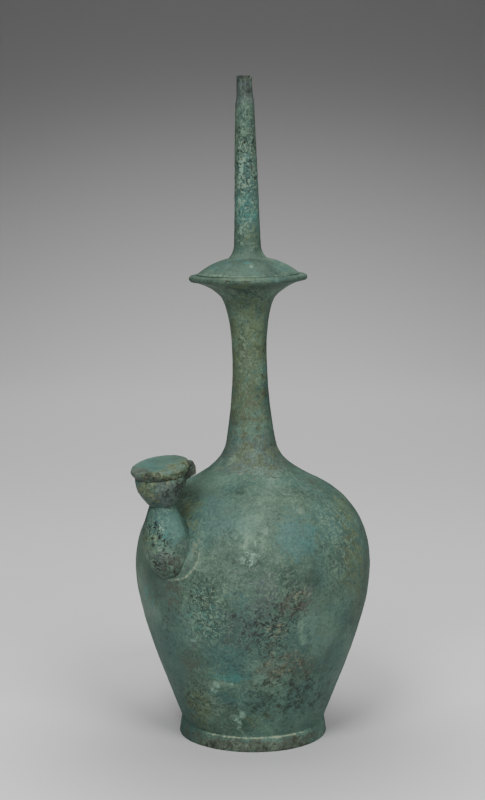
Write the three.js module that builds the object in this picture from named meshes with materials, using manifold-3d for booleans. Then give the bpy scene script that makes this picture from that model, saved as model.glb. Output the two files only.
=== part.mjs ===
// Ritual water ewer: a hollow bronze bottle on a foot ring, with a tall neck, a round plate at its top,
// a domed cap that runs up into a slim open tube, and a lidded spout on the shoulder.
// Millimetres, +Z up. The origin is the centre of the foot on the ground, and -Y is the front.
import * as THREE from 'three';
import { mergeVertices } from 'three/addons/utils/BufferGeometryUtils.js';
import Module from 'manifold-3d';

const wasm = await Module();
wasm.setup();

// Clearance between pieces that touch
const GAP = 0.3;

// Foot ring and base
const FOOT_RADIUS = 42;
const FOOT_TOP_RADIUS = 40.9;
const FOOT_HEIGHT = 7.9;
const FOOT_EDGE = 0.7;
const FOOT_RING_WIDTH = 4.5;
const BASE_RECESS = 3.5;

// Body, neck and plate: the radius at each place where the outline turns, and its rise over the place below
const VESSEL_WALL = 2.2;
const WAIST_RADIUS = 40;
const WAIST_RISE = 0.6;
const BELLY_RADIUS = 66.3;
const BELLY_RISE = 88.5;
const SHOULDER_RADIUS = 38;
const SHOULDER_RISE = 47.7;
const NECK_ROOT_RADIUS = 13.9;
const NECK_ROOT_RISE = 23.3;
const NECK_RADIUS = 9.65;
const NECK_RISE = 46;
const FLARE_RADIUS = 14.7;
const FLARE_RISE = 34;
const PLATE_RISE = 9.6;
const PLATE_LEDGE = 4.6;
const LIP_THICKNESS = 3.5;

// Domed cap and tube
const CAP_RADIUS = 28.5;
const CAP_EDGE = 0.5;
const CAP_RISE = 9;
const CAP_WALL = 2;
const COLLAR_RADIUS = 10.8;
const TUBE_FILLET = 6.9;
const TUBE_ROOT_RADIUS = 7.5;
const TUBE_TIP_RADIUS = 4.6;
const TUBE_LENGTH = 93;
const TUBE_WALL = 1.2;
const CHIP_RADIUS = 4;
const CHIP_DEPTH = 2.7;
const CHIP_BEARING = THREE.MathUtils.degToRad(-50);

// The neck and the tube lean to the left: the lean starts in the body and is full at the shoulder
const LEAN = THREE.MathUtils.degToRad(1.1);
const LEAN_START = 60;
const LEAN_BEND = 90;

// Spout on the shoulder: a bulb, a pinched waist and a cup
const SPOUT_BEARING = THREE.MathUtils.degToRad(224);
const SPOUT_WALL = 1.8;
const SPOUT_ROOT_DEPTH = 14.8;
const SPOUT_ROOT_RADIUS = 6;
const SPOUT_ROOT_RISE = 2.5;
const SPOUT_ROOT_BEND = 5.5;
const SPOUT_ROOT_LIFT = 9.5;
const SPOUT_WAIST_BEND = 13.5;
const SPOUT_WAIST_OFFSET = 1.3;
const SPOUT_WAIST_RISE = 43.2;
const SPOUT_WAIST_RADIUS = 7;
const BULB_RADIUS = 14;
const BULB_WIDEST = 21;
const CUP_RADIUS = 14.1;
const CUP_HEIGHT = 16.5;
const CUP_EDGE = 0.4;
const CUP_LEAN = THREE.MathUtils.degToRad(2.6);
const RIM_TILT = THREE.MathUtils.degToRad(8);

// Lid of the spout: a wedge, thicker on the side of the body
const LID_FOOT_OVERHANG = 0.3;
const LID_BAND_OVERHANG = 1.9;
const LID_BEVEL = 1;
const LID_THICKNESS = 5.6;
const LID_BAND_HEIGHT = 3.8;
const LID_SLOPE = Math.tan(THREE.MathUtils.degToRad(4));
const LID_PLATE = 2.2;
const LID_RIM_WALL = 2.4;

// Hinge of the lid
const HINGE_BEARING = THREE.MathUtils.degToRad(144);
const HINGE_OFFSET = 2.2;
const KNUCKLE_RADIUS = 2.5;
const TONGUE_WIDTH = 3.6;
const EAR_THICKNESS = 1.8;
const PIN_RADIUS = 0.9;
const PIN_HEAD = 0.2;
const BRACKET_DEPTH = 6.5;
const BRACKET_NOSE = 2;

// Sides of each round piece
const VESSEL_SIDES = 36;
const CAP_SIDES = 28;
const SPOUT_SIDES = 24;
const LID_SIDES = 32;
const PIN_SIDES = 12;

const point = (x, y) => new THREE.Vector2(x, y);

// A smooth stretch of profile. Its two handles are shares of the step from one end to the other.
function stretch(from, to, first, second) {
  const step = to.clone().sub(from);
  const handle = ([across, up]) => point(from.x + across * step.x, from.y + up * step.y);
  return new THREE.CubicBezierCurve(from, handle(first), handle(second), to);
}

// The points along a row of stretches, with the given number of steps in each.
function trace(stretches, steps) {
  return stretches.flatMap((part, index) => part.getPoints(steps[index]).slice(index ? 1 : 0));
}

// A profile moved by a wall's thickness along its own normals. A positive wall moves it towards the axis.
function moveInward(points, wall) {
  return points.map((here, index) => {
    const before = points[Math.max(index - 1, 0)];
    const after = points[Math.min(index + 1, points.length - 1)];
    const along = after.clone().sub(before).normalize();
    return point(here.x - along.y * wall, here.y + along.x * wall);
  });
}

// A closed solid from a geometry whose corners are merged and whose empty triangles are dropped.
function solidOf(geometry) {
  const bare = geometry.clone();
  bare.deleteAttribute('normal');
  bare.deleteAttribute('uv');
  const merged = mergeVertices(bare, 1e-4);
  const corners = [];
  for (let i = 0; i < merged.index.count; i += 3) {
    const [a, b, c] = [0, 1, 2].map((k) => merged.index.getX(i + k));
    if (a !== b && b !== c && c !== a) corners.push(a, b, c);
  }
  const vertProperties = new Float32Array(merged.attributes.position.array);
  const triVerts = new Uint32Array(corners);
  return new wasm.Manifold(new wasm.Mesh({ numProp: 3, vertProperties, triVerts }));
}

function geometryOf(solid) {
  const mesh = solid.getMesh();
  const geometry = new THREE.BufferGeometry();
  geometry.setAttribute('position', new THREE.BufferAttribute(mesh.vertProperties, 3));
  geometry.setIndex(new THREE.BufferAttribute(mesh.triVerts, 1));
  geometry.computeVertexNormals();
  return geometry;
}

// A profile of radius and height turned about +Z.
function turned(points, sides) {
  return new THREE.LatheGeometry(points, sides).rotateX(Math.PI / 2);
}

// Carries a turned shape along a line in the XZ plane: line(height) gives the line's place and direction there.
function follow(geometry, line) {
  const corners = geometry.attributes.position;
  for (let i = 0; i < corners.count; i += 1) {
    const across = corners.getX(i);
    const { place, along } = line(corners.getZ(i));
    corners.setX(i, place.x + across * along.y);
    corners.setZ(i, place.y - across * along.x);
  }
  return geometry;
}

// The leaning axis of the vessel and the tube.
function leaningAxis(height) {
  const share = THREE.MathUtils.clamp((height - LEAN_START) / LEAN_BEND, 0, 1);
  const above = Math.max(height - LEAN_START - LEAN_BEND, 0);
  const angle = LEAN * share * share * (3 - 2 * share);
  const shift = LEAN * (LEAN_BEND * share ** 3 * (1 - share / 2) + above);
  return { place: point(-shift, height), along: point(-Math.sin(angle), Math.cos(angle)) };
}

// Outline of the body, the neck and the underside of the plate
const lipRadius = LIP_THICKNESS / 2;
const waist = point(WAIST_RADIUS, FOOT_HEIGHT + WAIST_RISE);
const belly = point(BELLY_RADIUS, waist.y + BELLY_RISE);
const shoulder = point(SHOULDER_RADIUS, belly.y + SHOULDER_RISE);
const neckRoot = point(NECK_ROOT_RADIUS, shoulder.y + NECK_ROOT_RISE);
const neck = point(NECK_RADIUS, neckRoot.y + NECK_RISE);
const flare = point(FLARE_RADIUS, neck.y + FLARE_RISE);
const plateEdge = point(CAP_RADIUS + PLATE_LEDGE - lipRadius, flare.y + PLATE_RISE);
const plateTop = plateEdge.y + LIP_THICKNESS;
const vesselOutline = [
  stretch(waist, belly, [0.563, 0.429], [1, 0.751]),
  stretch(belly, shoulder, [0, 0.545], [0.449, 0.839]),
  stretch(shoulder, neckRoot, [0.676, 0.348], [0.938, 0.614]),
  stretch(neckRoot, neck, [0.6, 0.326], [1, 0.652]),
  stretch(neck, flare, [0, 0.353], [0.287, 0.824]),
  stretch(flare, plateEdge, [0.113, 0.333], [0.554, 0.875]),
];
const bodySteps = [8, 7, 5];

function vesselSolid() {
  const ringInside = FOOT_RADIUS - FOOT_RING_WIDTH;
  const foot = [
    point(0, BASE_RECESS),
    point(ringInside - BASE_RECESS / 2, BASE_RECESS),
    point(ringInside, 0),
    point(FOOT_RADIUS - FOOT_EDGE, 0),
    point(FOOT_RADIUS, FOOT_EDGE),
    point(FOOT_TOP_RADIUS, FOOT_HEIGHT - FOOT_EDGE),
    point(FOOT_TOP_RADIUS - FOOT_EDGE, FOOT_HEIGHT),
  ];
  const lip = new THREE.EllipseCurve(
    plateEdge.x, plateEdge.y + lipRadius, lipRadius, lipRadius, -Math.PI / 2, Math.PI / 2,
  ).getPoints(4).slice(1);
  const seatInside = CAP_RADIUS - CAP_WALL;
  const inside = moveInward(trace(vesselOutline, [6, 5, 4, 2, 2, 3]), VESSEL_WALL)
    .filter(({ x, y }) => y < flare.y || x < seatInside)
    .reverse();
  const floor = BASE_RECESS + VESSEL_WALL;
  const profile = [
    ...foot,
    ...trace(vesselOutline, [...bodySteps, 4, 4, 5]),
    ...lip,
    point(seatInside, plateTop),
    ...inside,
    point(WAIST_RADIUS - VESSEL_WALL, floor),
    point(0, floor),
  ];
  return solidOf(follow(turned(profile, VESSEL_SIDES), leaningAxis));
}

// The whole bulk of the body, grown by the clearance, which trims the root of the spout.
function bodyBulk() {
  const skin = moveInward(trace(vesselOutline.slice(0, 3), bodySteps), -GAP);
  const profile = [point(0, skin[0].y), ...skin, point(0, skin.at(-1).y)];
  return solidOf(follow(turned(profile, VESSEL_SIDES), leaningAxis));
}

function capSolid() {
  const seat = plateTop + GAP;
  const rim = point(CAP_RADIUS, seat + CAP_EDGE);
  const collar = point(COLLAR_RADIUS, plateTop + CAP_RISE);
  const root = point(TUBE_ROOT_RADIUS, collar.y + TUBE_FILLET);
  const tip = point(TUBE_TIP_RADIUS, root.y + TUBE_LENGTH);
  const dome = stretch(rim, collar, [0.235, 0.41], [0.626, 0.88]);
  const fillet = stretch(collar, root, [0.7, 0.33], [0.91, 0.65]);
  const tube = stretch(root, tip, [0.31, 0.247], [0.276, 0.409]);
  const rimInside = CAP_RADIUS - CAP_WALL;
  const bore = moveInward(trace([fillet, tube], [2, 5]), TUBE_WALL).reverse();
  const hollow = moveInward(trace([dome], [4]), CAP_WALL)
    .filter(({ x }) => x < rimInside && x > bore.at(-1).x)
    .reverse();
  const profile = [
    point(CAP_RADIUS, seat),
    ...trace([dome, fillet, tube], [5, 4, 7]),
    ...bore,
    ...hollow,
    point(rimInside, seat),
    point(CAP_RADIUS, seat),
  ];
  const whole = solidOf(follow(turned(profile, CAP_SIDES), leaningAxis));
  const top = leaningAxis(tip.y).place;
  const chip = new THREE.SphereGeometry(CHIP_RADIUS, 10, 8).translate(
    top.x + TUBE_TIP_RADIUS * Math.cos(CHIP_BEARING),
    TUBE_TIP_RADIUS * Math.sin(CHIP_BEARING),
    tip.y + CHIP_RADIUS - CHIP_DEPTH,
  );
  return whole.subtract(solidOf(chip));
}

// The spout's own frame: +X points away from the body, and its line runs from the root up to the waist,
// then straight on through the cup, whose rim tilts outwards more than the cup leans.
const tilted = (angle) => point(Math.sin(angle), Math.cos(angle));
const spoutWaist = point(BELLY_RADIUS + SPOUT_WAIST_OFFSET, belly.y + SPOUT_WAIST_RISE);
const spoutRoot = point(BELLY_RADIUS - SPOUT_ROOT_DEPTH, belly.y + SPOUT_ROOT_RISE);
const bulbLine = new THREE.CubicBezierCurve(
  spoutRoot,
  point(spoutWaist.x - SPOUT_ROOT_BEND, spoutRoot.y + SPOUT_ROOT_LIFT),
  spoutWaist.clone().addScaledVector(tilted(CUP_LEAN), -SPOUT_WAIST_BEND),
  spoutWaist,
);
const bulbLength = bulbLine.getLength();
const cupRim = bulbLength + CUP_HEIGHT;

function spoutLine(height) {
  if (height > bulbLength) {
    const above = height - bulbLength;
    const turn = Math.min(above / CUP_HEIGHT, 1) * (RIM_TILT - CUP_LEAN);
    return { place: spoutWaist.clone().addScaledVector(tilted(CUP_LEAN), above), along: tilted(CUP_LEAN + turn) };
  }
  const share = THREE.MathUtils.clamp(height / bulbLength, 0, 1);
  return { place: bulbLine.getPointAt(share), along: bulbLine.getTangentAt(share) };
}

const bulbWidest = point(BULB_RADIUS, BULB_WIDEST);
const spoutPinch = point(SPOUT_WAIST_RADIUS, bulbLength);
const spoutOutline = [
  stretch(point(SPOUT_ROOT_RADIUS, 0), bulbWidest, [0.44, 0.19], [1, 0.52]),
  stretch(bulbWidest, spoutPinch, [0, 0.38], [0.54, 0.65]),
  stretch(spoutPinch, point(CUP_RADIUS, cupRim - CUP_EDGE), [0.46, 0.225], [1, 0.53]),
];

function spoutBulk() {
  const skin = trace(spoutOutline, [5, 6, 6]);
  const profile = [point(0, 0), ...skin, point(CUP_RADIUS - CUP_EDGE, cupRim), point(0, cupRim)];
  return solidOf(follow(turned(profile, SPOUT_SIDES), spoutLine));
}

function spoutHollow() {
  const skin = moveInward(trace(spoutOutline, [5, 6, 6]), SPOUT_WALL);
  skin[0].y = 0;
  const mouth = cupRim + 1;
  const profile = [point(0, 0), ...skin, point(CUP_RADIUS - SPOUT_WALL, mouth), point(0, mouth)];
  return solidOf(follow(turned(profile, SPOUT_SIDES), spoutLine));
}

// The hinge's own frame: its origin is the middle of the cup's rim, +X runs out to the pin and +Z is the cup's axis.
const hingeFrame = new THREE.Matrix4()
  .makeTranslation(spoutLine(cupRim).place.x, 0, spoutLine(cupRim).place.y)
  .multiply(new THREE.Matrix4().makeRotationY(RIM_TILT))
  .multiply(new THREE.Matrix4().makeRotationZ(HINGE_BEARING));
const pinHeight = GAP + KNUCKLE_RADIUS;
const pinReach = CUP_RADIUS + HINGE_OFFSET;
const earInside = TONGUE_WIDTH / 2 + GAP;
const earOutside = earInside + EAR_THICKNESS;

// A flat shape of reach and height, made as thick as the two given places along the pin.
function slab(shape, from, to) {
  return new THREE.ExtrudeGeometry(shape, { depth: to - from, bevelEnabled: false, curveSegments: 6 })
    .rotateX(Math.PI / 2)
    .translate(0, to, 0);
}

function crossRod(radius, halfLength) {
  return new THREE.CylinderGeometry(radius, radius, 2 * halfLength, PIN_SIDES).translate(pinReach, 0, pinHeight);
}

// A leaf with a round end about the pin, which runs down, or in, to its root.
function leaf(radius, root) {
  const shape = new THREE.Shape();
  const [start, end, corners] = root;
  shape.absarc(pinReach, pinHeight, radius, start, end, false);
  corners.forEach(([x, y]) => shape.lineTo(x, y));
  shape.closePath();
  return shape;
}

function hingeBracket() {
  const nose = pinReach + KNUCKLE_RADIUS;
  const heel = CUP_RADIUS - SPOUT_WALL;
  const base = new THREE.Shape([
    point(heel, 0),
    point(heel - 1, -BRACKET_DEPTH),
    point(nose, -BRACKET_NOSE),
    point(nose, 0),
  ]);
  const earRoot = [[pinReach - KNUCKLE_RADIUS, -GAP], [nose, -GAP]];
  const ear = leaf(KNUCKLE_RADIUS, [0, Math.PI, earRoot]);
  return solidOf(slab(base, -earOutside, earOutside))
    .add(solidOf(slab(ear, earInside, earOutside)))
    .add(solidOf(slab(ear, -earOutside, -earInside)));
}

function spoutSolid() {
  const bracket = hingeBracket().transform(hingeFrame.toArray());
  const pinHole = solidOf(crossRod(PIN_RADIUS + GAP, earOutside + 1)).transform(hingeFrame.toArray());
  return spoutBulk().add(bracket).subtract(spoutHollow()).subtract(pinHole);
}

function lidSolid() {
  const footRadius = CUP_RADIUS + LID_FOOT_OVERHANG;
  const bandRadius = CUP_RADIUS + LID_BAND_OVERHANG;
  const recessRadius = footRadius - LID_RIM_WALL;
  const recess = LID_THICKNESS - LID_PLATE;
  const lid = turned([
    point(0, recess),
    point(recessRadius, recess),
    point(recessRadius, 0),
    point(footRadius, 0),
    point(bandRadius, LID_BAND_HEIGHT),
    point(bandRadius - LID_BEVEL, LID_THICKNESS),
    point(0, LID_THICKNESS),
  ], LID_SIDES);
  const corners = lid.attributes.position;
  for (let i = 0; i < corners.count; i += 1) {
    const towardsBody = -corners.getX(i) * Math.cos(HINGE_BEARING) + corners.getY(i) * Math.sin(HINGE_BEARING);
    corners.setZ(i, corners.getZ(i) * (1 + LID_SLOPE * towardsBody / LID_THICKNESS));
  }
  lid.translate(0, 0, GAP);
  const clear = KNUCKLE_RADIUS + GAP;
  const notch = leaf(clear, [0, Math.PI, [[pinReach - clear, -1], [pinReach + clear, -1]]]);
  const tongueRoot = footRadius - LID_RIM_WALL / 2;
  const top = pinHeight + KNUCKLE_RADIUS;
  const tongue = leaf(KNUCKLE_RADIUS, [-Math.PI / 2, Math.PI / 2, [[tongueRoot, top], [tongueRoot, GAP]]]);
  const notchHalf = earOutside + GAP;
  return solidOf(lid)
    .subtract(solidOf(slab(notch, -notchHalf, notchHalf)))
    .add(solidOf(slab(tongue, -TONGUE_WIDTH / 2, TONGUE_WIDTH / 2)))
    .subtract(solidOf(crossRod(PIN_RADIUS + GAP, earOutside)));
}

const patina = (color, roughness) => new THREE.MeshStandardMaterial({ color, roughness, metalness: 0.25 });
const bodyPatina = patina(0x4f6b64, 0.75);
const tubePatina = patina(0x3f7268, 0.75);
const spoutPatina = patina(0x5a6f66, 0.8);
const lidPatina = patina(0x4b7d6c, 0.7);
const pinPatina = patina(0x3a3a33, 0.8);

function piece(name, solid, material) {
  const mesh = new THREE.Mesh(geometryOf(solid), material);
  mesh.name = name;
  return mesh;
}

// The spout's frame stands on the leaning axis at the height of the spout's waist.
const spoutCentre = leaningAxis(spoutWaist.y).place.x;
const spoutPlace = new THREE.Matrix4()
  .makeTranslation(spoutCentre, 0, 0)
  .multiply(new THREE.Matrix4().makeRotationZ(SPOUT_BEARING));
const hingePlace = spoutPlace.clone().multiply(hingeFrame);

const ewer = new THREE.Group();
const bore = spoutHollow().transform(spoutPlace.toArray());
ewer.add(piece('vessel', vesselSolid().subtract(bore), bodyPatina));
ewer.add(piece('cap_and_tube', capSolid(), tubePatina));
ewer.add(piece('spout', spoutSolid().transform(spoutPlace.toArray()).subtract(bodyBulk()), spoutPatina));

const hinge = new THREE.Group();
hinge.applyMatrix4(hingePlace);
hinge.add(piece('spout_lid', lidSolid(), lidPatina));
hinge.add(piece('hinge_pin', solidOf(crossRod(PIN_RADIUS, earOutside + PIN_HEAD)), pinPatina));
ewer.add(hinge);

export default ewer;
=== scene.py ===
"""Ritual water ewer: an old bronze bottle with a tall neck, a round plate, a domed cap that runs up into a
slim tube, and a lidded spout on the shoulder. Metres, +Z up, and -Y is the front."""

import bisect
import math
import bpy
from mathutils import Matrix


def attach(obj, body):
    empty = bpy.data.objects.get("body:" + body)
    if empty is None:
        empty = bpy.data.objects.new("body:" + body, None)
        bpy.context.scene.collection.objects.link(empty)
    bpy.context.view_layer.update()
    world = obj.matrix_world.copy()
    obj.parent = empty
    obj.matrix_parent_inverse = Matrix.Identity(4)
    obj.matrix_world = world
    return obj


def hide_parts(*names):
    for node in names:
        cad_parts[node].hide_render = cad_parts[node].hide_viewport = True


bl_info = {
    "name": "Ritual Water Ewer",
    "version": (1, 0, 0),
    "blender": (4, 5, 0),
    "location": "View3D > Sidebar > Ewer",
    "description": "Builds an old bronze water ewer with its cap, tube, spout and hinged lid",
    "category": "Add Mesh",
}

from itertools import accumulate, product

import bmesh
import bpy
import numpy as np
from mathutils import Matrix, Vector
from mathutils.geometry import interpolate_bezier

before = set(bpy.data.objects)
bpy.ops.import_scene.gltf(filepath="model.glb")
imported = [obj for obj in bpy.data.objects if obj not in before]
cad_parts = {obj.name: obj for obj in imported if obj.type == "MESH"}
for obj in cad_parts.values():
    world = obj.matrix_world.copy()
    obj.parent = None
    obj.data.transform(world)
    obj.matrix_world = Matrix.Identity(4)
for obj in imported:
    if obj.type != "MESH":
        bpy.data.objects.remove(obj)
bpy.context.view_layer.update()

MM = 0.001
GAP = 0.3 * MM
WELD = 0.001 * MM
SKIN = "skin"
SLOPES = np.array([slope for slope in product((-1, 0, 1), repeat=3) if slope.count(0) == 1])


# Settings that a user may change

def length(name, description, millimetres):
    return bpy.props.FloatProperty(
        name=name, description=description, default=millimetres * MM, min=0.0, precision=4,
        unit="LENGTH", subtype="DISTANCE",
    )


def turn(name, description, degrees):
    return bpy.props.FloatProperty(
        name=name, description=description, default=math.radians(degrees), unit="ROTATION", subtype="ANGLE",
    )


def linear(red, green, blue):
    """A colour given as 0 to 255 on a screen, as Blender's linear one."""
    shares = [part / 255 for part in (red, green, blue)]
    return tuple(s / 12.92 if s < 0.04045 else ((s + 0.055) / 1.055) ** 2.4 for s in shares)


def colour(name, description, *screen):
    return bpy.props.FloatVectorProperty(
        name=name, description=description, default=linear(*screen), size=3, min=0.0, max=1.0,
        subtype="COLOR",
    )


def watts(name, description, power):
    return bpy.props.FloatProperty(
        name=name, description=description + ", in watts", default=power, min=0.0,
    )


class VesselSizes(bpy.types.PropertyGroup):
    foot_radius: length("Foot radius", "Outer radius of the foot ring on the ground", 42)
    foot_top_radius: length("Foot top radius", "Radius of the foot ring at its upper edge", 40.9)
    foot_height: length("Foot height", "Height of the foot ring", 7.9)
    waist_radius: length("Waist radius", "Radius of the body where it leaves the foot", 40)
    belly_radius: length("Belly radius", "Largest radius of the body", 66.3)
    belly_height: length("Belly height", "Height of the largest radius", 97)
    shoulder_radius: length("Shoulder radius", "Radius where the shoulder turns in", 38)
    shoulder_height: length("Shoulder height", "Height where the shoulder turns in", 144.7)
    neck_root_radius: length("Neck root radius", "Radius at the foot of the neck", 13.9)
    neck_root_height: length("Neck root height", "Height of the foot of the neck", 168)
    neck_radius: length("Neck radius", "Smallest radius of the neck", 9.65)
    neck_height: length("Neck height", "Height of the smallest radius of the neck", 214)
    flare_radius: length("Flare radius", "Radius where the neck opens into the plate", 14.7)
    flare_height: length("Flare height", "Height where the neck opens into the plate", 248)
    plate_radius: length("Plate radius", "Radius of the round plate on the neck", 33.1)
    plate_height: length("Plate height", "Height of the underside of the plate's lip", 257.6)
    lip: length("Lip thickness", "Thickness of the rounded lip of the plate", 3.5)
    wall: length("Wall", "Thickness of the bronze wall", 2.2)
    lean: turn("Lean", "How far the neck and the tube lean to the left", 1.1)


class CapSizes(bpy.types.PropertyGroup):
    radius: length("Cap radius", "Radius of the domed cap", 28.5)
    rise: length("Cap rise", "Height of the collar above the plate", 9)
    wall: length("Cap wall", "Thickness of the dome", 2)
    collar: length("Collar radius", "Radius where the dome turns up into the tube", 10.8)
    fillet: length("Fillet", "Height of the curve from the collar to the tube", 6.9)
    tube_root: length("Tube root radius", "Radius at the foot of the tube", 7.5)
    tube_tip: length("Tube tip radius", "Radius at the tip of the tube", 4.6)
    tube_length: length("Tube length", "Length of the tube above its foot", 93)
    tube_wall: length("Tube wall", "Thickness of the tube's wall", 1.2)
    chip: length("Chip depth", "Depth of the broken place in the tube's rim", 2)


class SpoutSizes(bpy.types.PropertyGroup):
    bearing: turn("Spout bearing", "Direction of the spout about the body, from +X", 224)
    wall: length("Spout wall", "Thickness of the spout's wall", 1.8)
    root_radius: length("Root radius", "Radius of the spout inside the body's wall", 6)
    bulb_radius: length("Bulb radius", "Largest radius of the bulb", 14)
    bulb_widest: length("Bulb widest", "How far up the spout the bulb is widest", 21)
    waist_radius: length("Pinch radius", "Radius of the pinched waist", 7)
    waist_height: length("Pinch height", "Height of the pinched waist", 140.2)
    waist_offset: length("Pinch offset", "How far the waist stands outside the belly's radius", 1.3)
    cup_radius: length("Cup radius", "Radius of the cup's rim", 14.1)
    cup_height: length("Cup height", "Height of the cup above the waist", 16.5)
    cup_lean: turn("Cup lean", "How far the cup leans away from the body", 2.6)
    rim_tilt: turn("Rim tilt", "How far the cup's rim tilts away from the body", 8)


class LidSizes(bpy.types.PropertyGroup):
    foot_radius: length("Lid foot radius", "Radius of the lid on the cup", 14.4)
    radius: length("Lid radius", "Largest radius of the lid", 16)
    top_radius: length("Lid top radius", "Radius of the lid's top face", 15)
    thickness: length("Lid thickness", "Thickness of the lid at its middle", 5.6)
    band: length("Band height", "Height of the lid's widest place", 3.8)
    slope: turn("Lid slope", "How far the top slopes down away from the body", 4)
    plate: length("Lid plate", "Thickness of the lid above its hollow", 2.2)
    rim_wall: length("Lid rim wall", "Thickness of the lid's rim", 2.4)
    hinge_bearing: turn("Hinge bearing", "Direction of the hinge about the cup, from the spout's own", 144)
    hinge_offset: length("Hinge offset", "How far the pin stands outside the cup's rim", 2.2)
    knuckle: length("Knuckle radius", "Radius of the round hinge knuckles", 2.5)
    tongue: length("Tongue width", "Width of the lid's knuckle", 3.6)
    ear: length("Ear thickness", "Thickness of each ear on the cup", 1.8)
    pin: length("Pin radius", "Radius of the hinge pin", 0.9)


class PatinaColours(bpy.types.PropertyGroup):
    deep: colour("Deep green", "Dark smooth patina", 42, 60, 51)
    green: colour("Green", "Main patina", 64, 86, 73)
    # Pale green is also used as painted light: under the plate and round the cap's rim.
    pale: colour("Pale green", "Worn pale patina", 92, 116, 99)
    blue: colour("Blue green", "Colder patches of the patina", 56, 88, 83)
    turquoise: colour("Turquoise", "Bright copper salts", 54, 104, 96)
    mint: colour("Mint", "Powdery whitish green crust", 122, 156, 138)
    fleck: colour("Fleck", "Small light flecks", 124, 148, 124)
    olive: colour("Olive", "Yellowish green patina", 76, 88, 60)
    brown: colour("Brown", "Bare and earthy bronze", 66, 70, 59)
    slate: colour("Slate", "Grey violet stains", 68, 76, 75)
    # Dark also paints two shadows: the one the cup casts on the shoulder, and a thin line under the lid's
    # band.
    dark: colour("Dark", "Pits, cracks and crevices", 20, 26, 22)
    tan: colour("Tan", "Cream and tan specks of earth", 138, 136, 108)
    # Worn edge paints rubbed edges, and also a painted highlight along the crest of the crescent below the
    # spout.
    worn: colour("Worn edge", "Pale metal on rubbed edges", 136, 146, 120)


class StageSettings(bpy.types.PropertyGroup):
    floor: colour("Floor", "Colour of the plain floor and backdrop", 212, 212, 212)
    key: watts("Key light", "Power of the main soft light", 7.9)
    fill: watts("Fill light", "Power of the soft light on the right", 6.3)
    top: watts("Top light", "Power of the soft light overhead", 11)
    low: watts("Low light", "Power of the weak light low at the front", 0.8)
    back: watts("Back light", "Power of the light on the floor behind", 3.1)
    sky: bpy.props.FloatProperty(
        name="Ambient light", description="Strength of the light from all around", default=0.022, min=0.0,
    )


SETTINGS = {
    "ewer_vessel": VesselSizes,
    "ewer_cap": CapSizes,
    "ewer_spout": SpoutSizes,
    "ewer_lid": LidSizes,
    "ewer_colours": PatinaColours,
    "ewer_stage": StageSettings,
}


# Outlines: points of radius (x) and height (y)

def point_along(points, reached, distance):
    index = min(max(bisect.bisect_right(reached, distance) - 1, 0), len(points) - 2)
    share = (distance - reached[index]) / (reached[index + 1] - reached[index])
    return points[index].lerp(points[index + 1], share)


def lengths_along(points):
    steps = ((b - a).length for a, b in zip(points, points[1:]))
    return list(accumulate(steps, initial=0.0))


def respaced(points, gap):
    """The same line with evenly spaced points, without its first one."""
    reached = lengths_along(points)
    count = max(1, round(reached[-1] / gap))
    return [point_along(points, reached, reached[-1] * i / count) for i in range(1, count + 1)]


def at(radius, height):
    return Vector((radius, height, 0.0))


def stretch(start, end, first, second, gap):
    """A smooth stretch of outline, without its first point. Its two handles are shares of the step."""
    step = end - start
    handles = [start + Vector((across * step.x, up * step.y, 0.0)) for across, up in (first, second)]
    return respaced(interpolate_bezier(start, *handles, end, 129), gap)


def straight(corners, gap):
    """Straight runs between the corners, without the first one."""
    return [p for a, b in zip(corners, corners[1:]) for p in respaced([a, b], gap)]


def moved_inward(points, wall):
    """An outline moved towards the axis along its own normals."""
    moved = []
    for index, here in enumerate(points):
        before = points[max(index - 1, 0)]
        after = points[min(index + 1, len(points) - 1)]
        along = (after - before).normalized()
        moved.append(here + Vector((-along.y, along.x, 0.0)) * wall)
    return moved


# Turned shells

def only_verts(made):
    return [item for item in made if isinstance(item, bmesh.types.BMVert)]


def all_skin(bm):
    mark = bm.verts.layers.float.get(SKIN) or bm.verts.layers.float.new(SKIN)
    for vert in bm.verts:
        vert[mark] = 1.0


def bevelled(bm, edges, width, segments):
    bmesh.ops.bevel(bm, geom=edges, offset=width, offset_type="OFFSET", segments=segments, profile=0.5,
                    affect="EDGES", material=-1, clamp_overlap=True)


def as_mesh(bm, name):
    mesh = bpy.data.meshes.new(name)
    bm.to_mesh(mesh)
    bm.free()
    return mesh


def placed(name, data):
    obj = bpy.data.objects.new(name, data)
    bpy.context.scene.collection.objects.link(obj)
    return obj


def turned(skin, hollow, segments, ring=False):
    """A closed shell turned about +Z from its outer outline, then its inner one. Points of the outer one are
    skin. It is spun through an eighth of the turn, and copies of that complete it."""
    bm = bmesh.new()
    mark = bm.verts.layers.float.new(SKIN)
    verts = []
    for points, is_skin in ((skin, 1.0), (hollow, 0.0)):
        for point in points:
            vert = bm.verts.new((point.x, 0.0, point.y))
            vert[mark] = is_skin
            verts.append(vert)
    pairs = list(zip(verts, verts[1:]))
    if ring:
        pairs.append((verts[-1], verts[0]))
    edges = [bm.edges.new(pair) for pair in pairs]
    eighth = 8
    bmesh.ops.spin(bm, geom=verts + edges, cent=(0, 0, 0), axis=(0, 0, 1), dvec=(0, 0, 0),
                   angle=math.tau / eighth, steps=segments // eighth, use_merge=False, use_duplicate=False)
    for share in (eighth, 4, 2):
        made = bmesh.ops.duplicate(bm, geom=bm.verts[:] + bm.edges[:] + bm.faces[:])["geom"]
        bmesh.ops.rotate(bm, cent=(0, 0, 0), matrix=Matrix.Rotation(math.tau / share, 3, "Z"),
                         verts=only_verts(made))
    bmesh.ops.remove_doubles(bm, verts=bm.verts, dist=WELD)
    bmesh.ops.recalc_face_normals(bm, faces=bm.faces)
    return bm


def follow(bm, line):
    """Carries a turned shape along a line in the XZ plane: line(height) gives its place and direction."""
    for vert in bm.verts:
        place, along = line(vert.co.z)
        across = vert.co.x
        vert.co.x = place.x + across * along.y
        vert.co.z = place.y - across * along.x


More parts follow.
